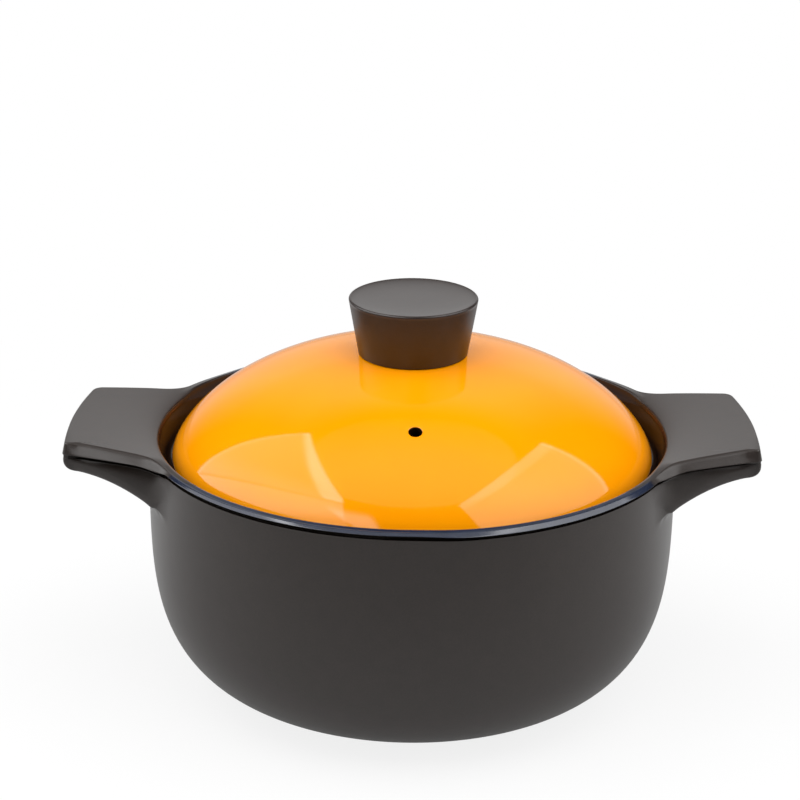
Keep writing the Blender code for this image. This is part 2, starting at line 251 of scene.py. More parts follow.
def thick_share(plan):
    """1 at the front right, where the hand-finished lip is thicker, and 0 elsewhere."""
    return smooth(plan[:, 0], 0, THICK_SIDE) * smooth(-plan[:, 1], 0, THICK_FRONT)


def between(sizes, share):
    """The size at a share of the way from the first one to the second."""
    return sizes[0] + (sizes[1] - sizes[0]) * share


def back_share(plan):
    """1 at the back of the rim, where the crest is sharper and a little higher, and 0 at the front."""
    return smooth(plan[:, 1], -BACK_CHANGE, BACK_CHANGE)


def top_level(plan):
    """The rim's top falls to the lip's edge, and the handle's top swells out of it."""
    radius = np.hypot(*plan.T)
    share = handle_share(plan)
    long_swell = 1 - smooth(turn_from_x(plan), root_angle - HANDLE_LEAD, rim_angle + BACK_SWELL)
    swell = np.where(plan[:, 1] > 0, long_swell, share)
    out = np.clip((radius - MOUTH_RADIUS) / (HANDLE_TIP - MOUTH_RADIUS), 0, 1)
    behind = back_share(plan)
    crest_end = MOUTH_RADIUS + between(RIM_CREST, behind)
    fall = np.clip((radius - crest_end) / (LIP_RADIUS - RIM_CREST[0] - crest_end), 0, 1)
    rise = between((between(RIM_RISE, thick_share(plan)), RIM_BACK_RISE), behind)
    rise = rise - between(RIM_FALL, behind) * fall
    return RIM_HEIGHT + HANDLE_RISE * out**TOP_POWER * swell + rise * (1 - share)


def grip_level(plan):
    """The handle's underside, a hollow sweep from the bowl up to the tip."""
    share = np.clip((HANDLE_TIP - abs(plan[:, 0])) / HANDLE_REACH, 0, GRIP_OVERRUN)
    return RIM_HEIGHT - GRIP_TIP_DEPTH - (GRIP_ROOT_DEPTH - GRIP_TIP_DEPTH) * share**2


def rows(count):
    """Shares of the way for a number of loops that follow the last one, up to the end."""
    return np.linspace(0, 1, count + 1)[1:]


pot_rows = []
pot_marks = []


def pot_row(plan, level, inside=0.0, rim=0.0, line=0.0, bare=0.0, brown=0.0):
    """Adds a loop round the pot, with how much of each finish, and of painted shade (line), it carries."""
    count = len(edge)
    pot_rows.append(np.column_stack([plan, np.broadcast_to(level, count)]))
    finishes = [np.broadcast_to(mark, count) for mark in (inside, rim, line, bare, brown)]
    pot_marks.append(np.column_stack(finishes))


# Floor, wall, lid ledge and sloping gallery, from the middle of the floor up to the rim.
cavity = quarter(LEDGE_ROOT, (FOOT_RADIUS - WALL, FLOOR_HEIGHT), BELLY_POWERS, 30)[::-1]
for radius in np.linspace(POLE_RADIUS, FOOT_RADIUS - WALL, 9)[:-1]:
    pot_row(spoke * radius, FLOOR_HEIGHT, inside=1, brown=1)
for radius, level in cavity[:-1]:
    pot_row(spoke * radius, level, inside=1, brown=1)
mouth = softened(
    [
        cavity[-2],
        LEDGE_ROOT,
        (LEDGE_RADIUS, LEDGE_HEIGHT - LEDGE_THICKNESS),
        (LEDGE_RADIUS, LEDGE_HEIGHT),
        (GALLERY_RADIUS, LEDGE_HEIGHT),
        (MOUTH_RADIUS, RIM_HEIGHT - RIM_CREST[0]),
    ],
    (2.5 * MM, 1.4 * MM, 1.2 * MM, 1.6 * MM), 46,
)


def brown_share(plan, level):
    """The outer glazes run over into the mouth: a little at the handles, further down at the rim."""
    spread = smooth(turn_from_x(plan), *BROWN_SPREAD)
    start = RIM_HEIGHT - between(BROWN_DROP, spread)
    return 1 - smooth(level, start - between(BROWN_FADE, spread), start)


for radius, level in mouth[1:]:
    plan = spoke * radius
    pot_row(plan, level, inside=1, rim=rim_share(plan), brown=brown_share(plan, level))

# The rim's inner edge rolls over into the rim's top or the handle's top. Behind the lid the inside's gloss
# runs out over the crest, and at the front and the handles it ends there.
crest_size = between(RIM_CREST, back_share(edge))
back_gloss = back_share(edge) * (1 - handle_share(edge))
for share in rows(6):
    plan = spoke * (MOUTH_RADIUS + crest_size * (1 - cos(share * pi / 2)))[:, None]
    level = top_level(plan) - crest_size * (1 - sin(share * pi / 2))
    inner_gloss = CREST_GLOSS * (1 - smooth(share, 0.4, 1.0) * (1 - back_gloss))
    pot_row(plan, level, inside=inner_gloss, rim=rim_share(plan), brown=brown_share(plan, level))

# The top runs out to the bevelled edge of the lip or of the handle's plate. The plate's bevel is widest
# along its front, and narrows before the corner.
on_handle = handle_share(edge)
out_share = np.clip((abs(edge[:, 0]) - LIP_RADIUS) / HANDLE_REACH, 0, 1)
front_side = on_handle * smooth(-facing[:, 1], *FRONT_TURN) * (1 - smooth(out_share, *BEVEL_END))
thick = thick_share(edge)
lip_bottom = RIM_HEIGHT - between(LIP_DEPTH, thick)
plate_bottom = top_level(edge) - between(PLATE_HEIGHT, out_share)
face_bottom = between((lip_bottom, plate_bottom), on_handle)
bevel = between((between(RIM_BEVEL, thick), END_BEVEL), on_handle) + (SIDE_BEVEL - END_BEVEL) * front_side
corner_size = between((RIM_EDGE, PLATE_EDGE), on_handle) + (SIDE_EDGE - PLATE_EDGE) * front_side
glazed = rim_share(edge)
crest = spoke * (MOUTH_RADIUS + crest_size)[:, None]
brink = edge - facing * (bevel + corner_size)[:, None]
crowding = 0.48  # how far the loops crowd towards both ends
for share in rows(16):
    eased = share - crowding * sin(2 * pi * share) / (2 * pi)
    plan = crest + (brink - crest) * eased
    inner_gloss = CREST_GLOSS * back_gloss * (1 - smooth(share, 0.0, 0.5))
    pot_row(plan, top_level(plan), inside=inner_gloss, rim=rim_share(plan))
ridge = edge - facing * bevel[:, None]
ridge_level = top_level(ridge)
bevel_fall = ridge_level - face_bottom
bevel_length = np.hypot(bevel, bevel_fall)
for share in rows(8):
    inward = corner_size * ((1 - share) ** 2 - share**2 * bevel / bevel_length)
    drop = corner_size * share**2 * bevel_fall / bevel_length
    pot_row(ridge - facing * inward[:, None], ridge_level - drop, rim=glazed)
begin = corner_size / bevel_length
finish = 1 - LOWER_ROUND / bevel_length
for share in rows(5):
    along = begin + (finish - begin) * share
    plan = ridge + facing * (bevel * along)[:, None]
    pot_row(plan, ridge_level - bevel_fall * along, rim=glazed)

# Below it runs a dark undercut line, painted shade in the groove, which dies out towards the handles' tips.
# On a handle painted shade darkens the cove under the plate, more under the left handle than the right one.
line_share = 1 - smooth(out_share, *LINE_END) * on_handle
undercut = between((LIP_OVERHANG, HANDLE_UNDERCUT * abs(facing[:, 1])), on_handle)
undercut = np.maximum(undercut, LOWER_ROUND)
long_side = on_handle * smooth(abs(facing[:, 1]), *SIDE_TURN)
cove = HANDLE_COVE * long_side * (1 - smooth(out_share, *COVE_END))
groove = between((GROOVE_TIP_DEPTH, GROOVE_DEPTH), line_share)
painted_cove_shade = long_side * (1 - smooth(out_share, *COVE_SHADE_END)) * np.where(edge[:, 0] < 0, *COVE_SHADE_STRENGTH)
shade = np.maximum(line_share, painted_cove_shade)
round_height = LOWER_ROUND * bevel_fall / bevel_length
for share in rows(3):
    left_over = (1 - share) ** 2
    inward = left_over * bevel * (1 - finish) + share**2 * LOWER_ROUND
    plan = edge - facing * inward[:, None]
    pot_row(plan, face_bottom + round_height * left_over, rim=glazed * (1 - share), line=shade * share)
deepest = undercut + cove + groove
for share in rows(3):
    inward = between((LOWER_ROUND, deepest), share)
    pot_row(edge - facing * inward[:, None], face_bottom, line=shade)
groove_bottom = face_bottom - between(GROOVE_HEIGHT, thick)
for share in (0.08, 0.5, 0.92, 1.0):
    pot_row(edge - facing * deepest[:, None], between((face_bottom, groove_bottom), share), line=shade)
for share, darkness in ((0.5, 1), (0.85, 1), (1.0, 0)):
    inward = deepest - groove * share
    mark = np.maximum(line_share * darkness, painted_cove_shade * COVE_SHADE_ON_GRIP[1])
    pot_row(edge - facing * inward[:, None], groove_bottom, line=mark)

# Side of the grip, its rounded edge, its underside and the soft fillet into the bowl. Both rounds shrink
# where the side comes near the bowl. Between the handles the same loops lie on its neck, evenly spaced.
side = edge - facing * undercut[:, None]
stand_off = np.maximum(np.hypot(*side.T) - BELLY_RADIUS, 0)
round_out = np.minimum(GRIP_EDGE, stand_off * 0.5)
round_in = np.minimum(GRIP_FILLET, stand_off * 0.45)
belly_point = spoke * BELLY_RADIUS
run_out = side - belly_point
run_length = np.hypot(*run_out.T)
side_spoke = run_out / np.maximum(run_length, 1e-9)[:, None]
# The cove's painted shade runs on down the grip's side, fading towards its lower edge.
grip_rows = []
grip_painted_shade = []
for share in (0.01, *rows(11)):
    level = between((groove_bottom, grip_level(side) + GRIP_EDGE), share)
    grip_rows.append((run_length - cove * (1 - share) ** 2, level))
    grip_painted_shade.append(painted_cove_shade * between(COVE_SHADE_ON_GRIP, (1 - share) ** 2))
for share in rows(8):
    reach = run_length - round_out * (1 - cos(share * pi / 2))
    plan = belly_point + side_spoke * reach[:, None]
    grip_rows.append((reach, grip_level(plan) + GRIP_EDGE * (1 - sin(share * pi / 2))))
for share in rows(12):
    reach = between((run_length - round_out, round_in), share)
    plan = belly_point + side_spoke * reach[:, None]
    grip_rows.append((reach, grip_level(plan)))
for share in rows(8):
    reach = round_in * (1 - sin(share * pi / 2))
    plan = belly_point + side_spoke * reach[:, None]
    grip_rows.append((reach, grip_level(plan) - GRIP_FILLET * (1 - cos(share * pi / 2))))
grip_bottom = grip_rows[-1][1]
stands = smooth(stand_off, 0, 5 * MM)
first_gap = 0.2  # between the groove and the first even loop, as a share of the others' distance
for i, (reach, level) in enumerate(grip_rows):
    even = between((groove_bottom, grip_bottom), (i + first_gap) / (len(grip_rows) - 1 + first_gap))
    painted_shade = grip_painted_shade[i] if i < len(grip_painted_shade) else 0
    pot_row(belly_point + side_spoke * reach[:, None], between((even, level), stands), line=painted_shade)

# Belly, foot ring and the shallow hollow under the bowl.
belly = quarter((BELLY_RADIUS, NECK_HEIGHT), (FOOT_RADIUS, FOOT_STEP), BELLY_POWERS, 1200)
belly_travel = np.concatenate([[0], np.hypot(*np.diff(belly, axis=0).T).cumsum()])
belly_start = np.interp(-grip_bottom, -belly[:, 1], belly_travel)
for share in rows(44):
    travelled = between((belly_start, belly_travel[-1]), share)
    radius = np.interp(travelled, belly_travel, belly[:, 0])
    pot_row(spoke * radius[:, None], np.interp(travelled, belly_travel, belly[:, 1]))
foot = softened(
    [
        (FOOT_RADIUS, FOOT_STEP),
        (FOOT_RADIUS - FOOT_STEP / 2, 0),
        (FOOT_INSIDE, 0),
        (FOOT_INSIDE - FOOT_STEP, FOOT_STEP),
        (HOLLOW_RADIUS, FOOT_STEP),
    ],
    (0.4 * MM, 0.4 * MM, 0.6 * MM), 24,
)
for radius, level in foot[1:]:
    pot_row(spoke * radius, level, bare=1 if WIPED_RING[0] < radius < WIPED_RING[1] else 0)
for radius in np.linspace(HOLLOW_RADIUS, POLE_RADIUS, 8)[1:]:
    pot_row(spoke * radius, FOOT_STEP)

# The loops joined into one closed skin, with a point in the middle of the floor and of the hollow.
ring = len(edge)
points = np.concatenate([*pot_rows, [[0, 0, FLOOR_HEIGHT], [0, 0, FOOT_STEP]]])
marks = np.concatenate([*pot_marks, [[1, 0, 0, 0, 1], [0, 0, 0, 0, 0]]])
first, last = len(points) - 2, len(points) - 1
there = (np.arange(ring) + 1) % ring
faces = [(first, i, there[i]) for i in range(ring)]
for row in range(len(pot_rows) - 1):
    here, below = row * ring, (row + 1) * ring
    faces += [(here + i, below + i, below + there[i], here + there[i]) for i in range(ring)]
end = (len(pot_rows) - 1) * ring
faces += [(end + i, last, end + there[i]) for i in range(ring)]
pot_mesh = bpy.data.meshes.new("pot_body")
pot_mesh.from_pydata(points.tolist(), [], [tuple(int(i) for i in face) for face in faces])
for column, name in enumerate(("inside_glaze", "rim_glaze", "painted_undercut_shade", "bare_clay", "brown_glaze")):
    attribute = pot_mesh.attributes.new(name, "FLOAT", "POINT")
    attribute.data.foreach_set("value", marks[:, column].astype(np.float32))
pot_mesh.shade_smooth()
pot = bpy.data.objects.new("pot_body", pot_mesh)
bpy.context.scene.collection.objects.link(pot)


class Value:
    """A node's output. Python's operators on it add Math nodes to its tree."""

    def __init__(self, tree, socket):
        self.tree = tree
        self.socket = socket

    def math(self, operation, *values):
        return Bench(self.tree).add("ShaderNodeMath", {"operation": operation}, dict(enumerate(values)))

    def __add__(self, other):
        return self.math("ADD", self, other)

    def __radd__(self, other):
        return self.math("ADD", other, self)

    def __sub__(self, other):
        return self.math("SUBTRACT", self, other)

    def __rsub__(self, other):
        return self.math("SUBTRACT", other, self)

    def __mul__(self, other):
        return self.math("MULTIPLY", self, other)

    def __rmul__(self, other):
        return self.math("MULTIPLY", other, self)

    def __truediv__(self, other):
        return self.math("DIVIDE", self, other)

    def __rtruediv__(self, other):
        return self.math("DIVIDE", other, self)

    def __pow__(self, other):
        return self.math("POWER", self, other)

    def __abs__(self):
        return self.math("ABSOLUTE", self)

    def other(self, output):
        """Another output of the same node."""
        return Value(self.tree, self.socket.node.outputs[output])


class Bench:
    """Adds nodes to one tree. Settings go in first, then the values or links of the sockets."""

    def __init__(self, tree):
        self.tree = tree

    def add(self, kind, settings=None, sockets=None, output=0):
        node = self.tree.nodes.new(kind)
        for name, setting in (settings or {}).items():
            setattr(node, name, setting)
        for name, value in (sockets or {}).items():
            self.plug(node.inputs[name], value)
        return Value(self.tree, node.outputs[output])

    def plug(self, socket, value):
        if isinstance(value, Value):
            self.tree.links.new(value.socket, socket)
        else:
            socket.default_value = value

    def mix(self, factor, first, second):
        """A colour between two others."""
        sockets = {0: factor, 6: first, 7: second}
        return self.add("ShaderNodeMix", {"data_type": "RGBA"}, sockets, output=2)

    def step(self, value, low, high):
        """0 below the low value, 1 above the high one, and a soft change between them."""
        settings = {"interpolation_type": "SMOOTHSTEP"}
        return self.add("ShaderNodeMapRange", settings, {0: value, 1: low, 2: high})

    def noise(self, place, scale, detail=2.0, roughness=0.5):
        sockets = {"Vector": place, "Scale": scale, "Detail": detail, "Roughness": roughness}
        return self.add("ShaderNodeTexNoise", None, sockets)

    def mark(self, name):
        """A finish mark that the mesh carries."""
        return self.add("ShaderNodeAttribute", {"attribute_name": name}, output=2)


def tint(red, green, blue):
    """An 8-bit display colour as a shader's linear colour."""
    shares = np.array([red, green, blue]) / 255
    straight = np.where(shares <= 0.04045, shares / 12.92, ((shares + 0.055) / 1.055) ** 2.4)
    return (*straight.tolist(), 1.0)


def new_glaze(name):
    """A material with its nodes, the place on the piece, and the shader to plug into."""
    material = bpy.data.materials.new(name)
    material.use_nodes = True
    bench = Bench(material.node_tree)
    place = bench.add("ShaderNodeTexCoord", output=3)
    return material, bench, place, material.node_tree.nodes["Principled BSDF"]


charcoal, bench, place, shader = new_glaze("charcoal_matte_glaze")
grain = bench.noise(place, 1400, 3, 0.6)
mottle = bench.noise(place, 160, 4, 0.6)
drift = bench.noise(place, 14, 2)
inside = bench.mark("inside_glaze")
rim = bench.mark("rim_glaze")
line = bench.mark("painted_undercut_shade")
bare = bench.mark("bare_clay")
deep = bench.mark("brown_glaze")
outside = bench.mix(bench.step(mottle * 0.35 + grain * 0.65, 0.36, 0.64), tint(41, 35, 32), tint(47, 40, 37))
outside = bench.mix(drift * 0.2, outside, tint(40, 35, 32))
navy = bench.mix(bench.step(mottle, 0.35, 0.65), tint(27, 35, 53), tint(33, 41, 61))
brown = bench.mix(bench.step(mottle, 0.3, 0.7), tint(25, 16, 11), tint(34, 21, 15))
clay = bench.mix(bench.step(grain, 0.3, 0.7), tint(126, 110, 95), tint(162, 145, 126))
# Painted shade in the groove under the lip and the coves under the handles, mixed towards this dark colour.
painted_shade_colour = tint(26, 21, 17)
painted_shade = bench.step(line, 0.0, 1.0)
matte = bench.mix(painted_shade, outside, painted_shade_colour)
matte = bench.mix(bench.step(bare, 0.4, 0.6), matte, clay)
bench.plug(shader.inputs["Base Color"], matte)
rough = 0.27 + grain * 0.06
rough = rough + (0.85 - rough) * bare
bench.plug(shader.inputs["Roughness"], rough)
shader.inputs["IOR"].default_value = 1.62
shader.inputs["Sheen Weight"].default_value = 0.06
shader.inputs["Sheen Roughness"].default_value = 0.5
navy_share = bench.step(rim + mottle * 0.3 - 0.15, 0.15, 0.9)
gloss = bench.step(inside + navy_share + painted_shade, 0.2, 0.7)
rim_mix = bench.step(rim, 0.1, 0.9)
inner = bench.mix(rim_mix, tint(34, 38, 46), tint(26, 44, 76))
upper = bench.mix(bench.step(inside, 0.72, 1.0), bench.mix(rim_mix, outside, navy), inner)
gloss_colour = bench.mix(bench.step(deep, 0.05, 0.95), upper, brown)

# Beside the handles, where the charcoal runs out into the mouth, a thin band is coloured a rusty brown.
sideways = bench.add("ShaderNodeSeparateXYZ", None, {0: place})
rusty_band = bench.step(deep * (1 - deep), 0.12, 0.24) * bench.step(abs(sideways), 101 * MM, 105 * MM)
gloss_colour = bench.mix(rusty_band * 0.7, gloss_colour, tint(98, 55, 30))
gloss_colour = bench.mix(painted_shade, gloss_colour, painted_shade_colour)
pits = bench.add("ShaderNodeTexVoronoi", None, {"Vector": place, "Scale": 420.0})
relief = grain * 0.5 + mottle * 0.5 - bench.step(pits, 0.16, 0.04) * 0.6
bump = bench.add(
    "ShaderNodeBump", None, {"Strength": 0.16, "Distance": 0.25 * MM, "Height": relief * (1 - gloss * 0.75)}
)
bench.plug(shader.inputs["Normal"], bump)
gloss_shader = bench.add("ShaderNodeBsdfPrincipled", None, {
    "Base Color": gloss_colour, "Roughness": 0.16 + mottle * 0.06, "IOR": 1.3, "Normal": bump,
    "Coat Weight": navy_share * (1 - painted_shade) * (1 - bench.step(inside, 0.5, 1.0)),
    "Coat Roughness": 0.13, "Coat IOR": 1.78,
})
matte_shader = Value(bench.tree, shader.outputs[0])
skin = bench.add("ShaderNodeMixShader", None, {0: gloss, 1: matte_shader, 2: gloss_shader})
bench.plug(charcoal.node_tree.nodes["Material Output"].inputs["Surface"], skin)
pot_mesh.materials.append(charcoal)
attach(pot, "pot")
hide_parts("pot_bowl", "handle_left", "handle_right")

# Lid
# Turned clay dome with a drilled steam vent and a locating ring below, dipped in a bright orange gloss glaze.
# It lies loose on the ledge inside the mouth. The bore of the vent is painted dark brown: painted shade in
# the hole.
LID_RADIUS = 102.7 * MM
LID_SEAT = 100.3 * MM
LID_EDGE = 1.7 * MM
LID_RISE = 45.4 * MM
LID_THICKNESS = 5.5 * MM
RING_RADIUS = 96.6 * MM
RING_WIDTH = 5.0 * MM
RING_DEPTH = 5.0 * MM
RING_NOSE = 0.3  # radius of the ring's two lower edges, as a share of its width
DOME_POWERS = (2.22, 1.52)
VENT_RADIUS = 2.65 * MM
VENT_SOFTNESS = 0.7 * MM
VENT_DISTANCE = 66.0 * MM
VENT_TURN = radians(1.1)
VENT_SHADE = (3.0 * MM, 2.7 * MM)  # distances from the vent's axis over which the bore's painted shade sets in
BORE_OVERRUN = 10.0 * MM  # how far the cutter for the vent sticks out of the dome on both sides


def stretch_group():
    """One stretch of a turned profile: a superelliptic quarter, or with powers of 1 a straight line."""
    tree = bpy.data.node_groups.new("profile_stretch", "GeometryNodeTree")
    tree.is_modifier = False
    tree.interface.new_socket("Points", in_out="INPUT", socket_type="NodeSocketInt")
    for name in ("Start radius", "Start height", "End radius", "End height", "Power across", "Power along"):
        tree.interface.new_socket(name, in_out="INPUT", socket_type="NodeSocketFloat")
    tree.interface.new_socket("Profile", in_out="OUTPUT", socket_type="NodeSocketGeometry")
    bench = Bench(tree)
    given = tree.nodes.new("NodeGroupInput")
    points, start_r, start_z, end_r, end_z, across, along = (Value(tree, s) for s in given.outputs[:7])
    line = bench.add("GeometryNodeMeshLine", None, {"Count": points})
    turn = bench.add("GeometryNodeInputIndex") / (points - 1) * (pi / 2)
    shrink = turn.math("MAXIMUM", turn.math("COSINE", turn), 0.0) ** (2 / across)
    grow = turn.math("MAXIMUM", turn.math("SINE", turn), 0.0) ** (2 / along)
    spot = bench.add(
        "ShaderNodeCombineXYZ", None,
        {"X": end_r + (start_r - end_r) * shrink, "Y": start_z + (end_z - start_z) * grow},
    )
    placed = bench.add("GeometryNodeSetPosition", None, {"Geometry": line, "Position": spot})
    out = tree.nodes.new("NodeGroupOutput")
    bench.plug(out.inputs[0], placed)
    return tree


stretch = stretch_group()


def turned_piece(bench, stretches, sides):
    """Turns the joined stretches about Z.

    Each one is (points, start, end, powers), with its start and end as (radius, height).
    """
    joined = bench.tree.nodes.new("GeometryNodeJoinGeometry")
    for count, start, end, powers in stretches:
        values = dict(enumerate((count, *start, *end, *powers)))
        part = bench.add("GeometryNodeGroup", {"node_tree": stretch}, values)
        bench.tree.links.new(part.socket, joined.inputs[0])
    chain = Value(bench.tree, joined.outputs[0])
    chain = bench.add("GeometryNodeMergeByDistance", None, {"Geometry": chain, "Distance": 1e-6})
    hub = 1.0 * MM
    chain = bench.add("GeometryNodeTransform", None, {
        "Geometry": chain, "Translation": (-hub, 0.0, 0.0), "Scale": (1.0, -1.0, 1.0),
    })
    profile = bench.add("GeometryNodeMeshToCurve", None, {"Mesh": chain})
    wheel = bench.add("GeometryNodeCurvePrimitiveCircle", None, {"Resolution": sides, "Radius": hub})
    swept = bench.add("GeometryNodeCurveToMesh", None, {"Curve": wheel, "Profile Curve": profile})
    outward = bench.add("GeometryNodeFlipFaces", None, {"Mesh": swept})
    return bench.add("GeometryNodeMergeByDistance", None, {"Geometry": outward, "Distance": 2e-6})


def finished(bench, geometry, material):
    """The tree's end: plain faces, smooth, with their material."""
    real = bench.add("GeometryNodeRealizeInstances", None, {"Geometry": geometry})
    soft = bench.add("GeometryNodeSetShadeSmooth", None, {"Geometry": real})
    done = bench.add("GeometryNodeSetMaterial", None, {"Geometry": soft, "Material": material})
    out = bench.tree.nodes.new("NodeGroupOutput")
    bench.plug(out.inputs[0], done)


def modelled(name, tree, sizes):
    """Runs a tree on a new object with its named sizes and keeps the result as a plain mesh."""
    item = bpy.data.objects.new(name, bpy.data.meshes.new(name))
    bpy.context.scene.collection.objects.link(item)
    modifier = item.modifiers.new("wheel", "NODES")
    modifier.node_group = tree
    for socket in tree.interface.items_tree:
        if socket.in_out == "INPUT" and socket.name in sizes:
            modifier[socket.identifier] = sizes[socket.name]
    depsgraph = bpy.context.evaluated_depsgraph_get()
    mesh = bpy.data.meshes.new_from_object(item.evaluated_get(depsgraph), depsgraph=depsgraph)
    item.modifiers.clear()
    item.data = mesh
    mesh.name = name
    return item


def new_tree(name, sizes):
    """A tree with a named input for each size, and the inputs as values."""
    tree = bpy.data.node_groups.new(name, "GeometryNodeTree")
    tree.is_modifier = True
    tree.interface.new_socket("Shape", in_out="OUTPUT", socket_type="NodeSocketGeometry")
    for size in sizes:
        tree.interface.new_socket(size, in_out="INPUT", socket_type="NodeSocketFloat")
    given = tree.nodes.new("NodeGroupInput")
    return Bench(tree), [Value(tree, given.outputs[size]) for size in sizes]


orange, bench, place, shader = new_glaze("orange_gloss_glaze")
flow = bench.noise(place, 22, 3, 0.55)
speck = bench.noise(place, 700, 2)
colour = bench.mix(bench.step(flow, 0.3, 0.7), tint(255, 154, 1), tint(255, 158, 2))
vent_place = 1 - (VENT_DISTANCE / LID_RADIUS) ** DOME_POWERS[0]
vent_slope = LID_RISE * DOME_POWERS[0] / DOME_POWERS[1] * (VENT_DISTANCE / LID_RADIUS) ** (DOME_POWERS[0] - 1)
vent_lean = atan(vent_slope / LID_RADIUS * vent_place ** (1 / DOME_POWERS[1] - 1))
vent_spot = Vector((0, -VENT_DISTANCE, LID_SEAT + LID_EDGE + LID_RISE * vent_place ** (1 / DOME_POWERS[1])))
vent_axis = Vector((0, -sin(vent_lean), cos(vent_lean)))
vent_spot.rotate(Matrix.Rotation(VENT_TURN, 3, "Z"))
vent_axis.rotate(Matrix.Rotation(VENT_TURN, 3, "Z"))
gap = bench.add("ShaderNodeVectorMath", {"operation": "SUBTRACT"}, {0: place, 1: vent_spot})
side = bench.add("ShaderNodeVectorMath", {"operation": "CROSS_PRODUCT"}, {0: gap, 1: vent_axis})
from_axis = bench.add("ShaderNodeVectorMath", {"operation": "LENGTH"}, {0: side}, output=1)
# Painted shade: the vent's bore and the inner part of its softened edge are mixed towards dark brown.
colour = bench.mix(bench.step(from_axis, *VENT_SHADE), colour, tint(36, 24, 16))
bench.plug(shader.inputs["Base Color"], colour)
bench.plug(shader.inputs["Roughness"], 0.045 + flow * 0.03)
ripple = bench.add(
    "ShaderNodeBump", None, {"Strength": 0.05, "Distance": 0.4 * MM, "Height": flow + speck * 0.04}
)
bench.plug(shader.inputs["Normal"], ripple)

lid_sizes = {
    "Radius": LID_RADIUS, "Edge": LID_EDGE, "Rise": LID_RISE, "Thickness": LID_THICKNESS,
    "Ring radius": RING_RADIUS, "Ring width": RING_WIDTH, "Ring depth": RING_DEPTH,
    "Power across": DOME_POWERS[0], "Power along": DOME_POWERS[1], "Seat height": LID_SEAT,
    "Vent radius": VENT_RADIUS, "Vent softness": VENT_SOFTNESS, "Vent distance": VENT_DISTANCE,
}
bench, inputs = new_tree("lid_dome_tree", lid_sizes)
radius, rim_edge, rise, thick, ring_r, ring_w, ring_d = inputs[:7]
across, along, seat, vent_r, vent_soft, vent_out = inputs[7:]
peak = rim_edge + rise
ring_in = ring_r - ring_w
nose = ring_w * RING_NOSE
round_powers = (2.0, 2.0)
straight = (1.0, 1.0)
lid = turned_piece(bench, [
    (110, (radius, rim_edge), (0.0, peak), (across, along)),
    (8, (radius, rim_edge), (radius - rim_edge, 0.0), round_powers),
    (4, (radius - rim_edge, 0.0), (ring_r, 0.0), straight),
    (5, (ring_r, 0.0), (ring_r, nose - ring_d), straight),
    (7, (ring_r, nose - ring_d), (ring_r - nose, 0.0 - ring_d), round_powers),
    (4, (ring_r - nose, 0.0 - ring_d), (ring_in + nose, 0.0 - ring_d), straight),
    (7, (ring_in, nose - ring_d), (ring_in + nose, 0.0 - ring_d), round_powers),
    (5, (ring_in, nose - ring_d), (ring_in, 0.0), straight),
    (80, (ring_in, 0.0), (0.0, peak - thick), (across, along)),
], 240)
lift = bench.add("ShaderNodeCombineXYZ", None, {"Z": seat})
lid = bench.add("GeometryNodeTransform", None, {"Geometry": lid, "Translation": lift})

# The vent's bore stands square to the dome, with both ends softened.
vent_share = vent_out / radius
vent_drop = 1 - vent_share ** across
vent_level = seat + rim_edge + rise * vent_drop ** (1 / along)
slope = rise * (across / along) * vent_share ** (across - 1) / radius * vent_drop ** (1 / along - 1)
lean = slope.math("ARCTANGENT", slope)
wide = vent_r + vent_soft
bore_end = 0.0 - thick - BORE_OVERRUN
bore = turned_piece(bench, [
    (2, (0.0, BORE_OVERRUN), (wide, BORE_OVERRUN), straight),
    (2, (wide, BORE_OVERRUN), (wide, 0.0), straight),
    (7, (vent_r, 0.0 - vent_soft), (wide, 0.0), round_powers),
    (2, (vent_r, 0.0 - vent_soft), (vent_r, vent_soft - thick), straight),
    (7, (vent_r, vent_soft - thick), (wide, 0.0 - thick), round_powers),
    (2, (wide, 0.0 - thick), (wide, bore_end), straight),
    (2, (wide, bore_end), (0.0, bore_end), straight),
], 48)
tilt = bench.add("ShaderNodeCombineXYZ", None, {"X": lean})
where = bench.add("ShaderNodeCombineXYZ", None, {"Y": 0.0 - vent_out, "Z": vent_level})
bore = bench.add("GeometryNodeTransform", None, {"Geometry": bore, "Translation": where, "Rotation": tilt})
bore = bench.add("GeometryNodeTransform", None, {"Geometry": bore, "Rotation": (0.0, 0.0, VENT_TURN)})
cut = bench.add(
    "GeometryNodeMeshBoolean", {"operation": "DIFFERENCE", "solver": "EXACT"}, {"Mesh 1": lid, "Mesh 2": bore}
)
finished(bench, cut, orange)
lid_piece = modelled("lid_shell", bench.tree, lid_sizes)
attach(lid_piece, "lid")
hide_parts("lid_dome")

# Knob
# Solid cone of the same clay with a shallow dish in its top, under a satin brown-grey glaze. It is turned on
# the wheel, stuck on the dome narrow end down with slip, and fired with it.
KNOB_HEIGHT = 24.4 * MM
KNOB_BASE_RADIUS = 23.2 * MM
KNOB_TOP_RADIUS = 27.3 * MM
KNOB_EDGE = 0.9 * MM
KNOB_DISH = 1.2 * MM
KNOB_HEEL = 0.25 * MM
KNOB_COAT = (2.2 * MM, 1.2 * MM)  # depths under the top over which the shine of its thicker glaze sets in
KNOB_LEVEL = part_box("lid_knob")[1].z - KNOB_HEIGHT

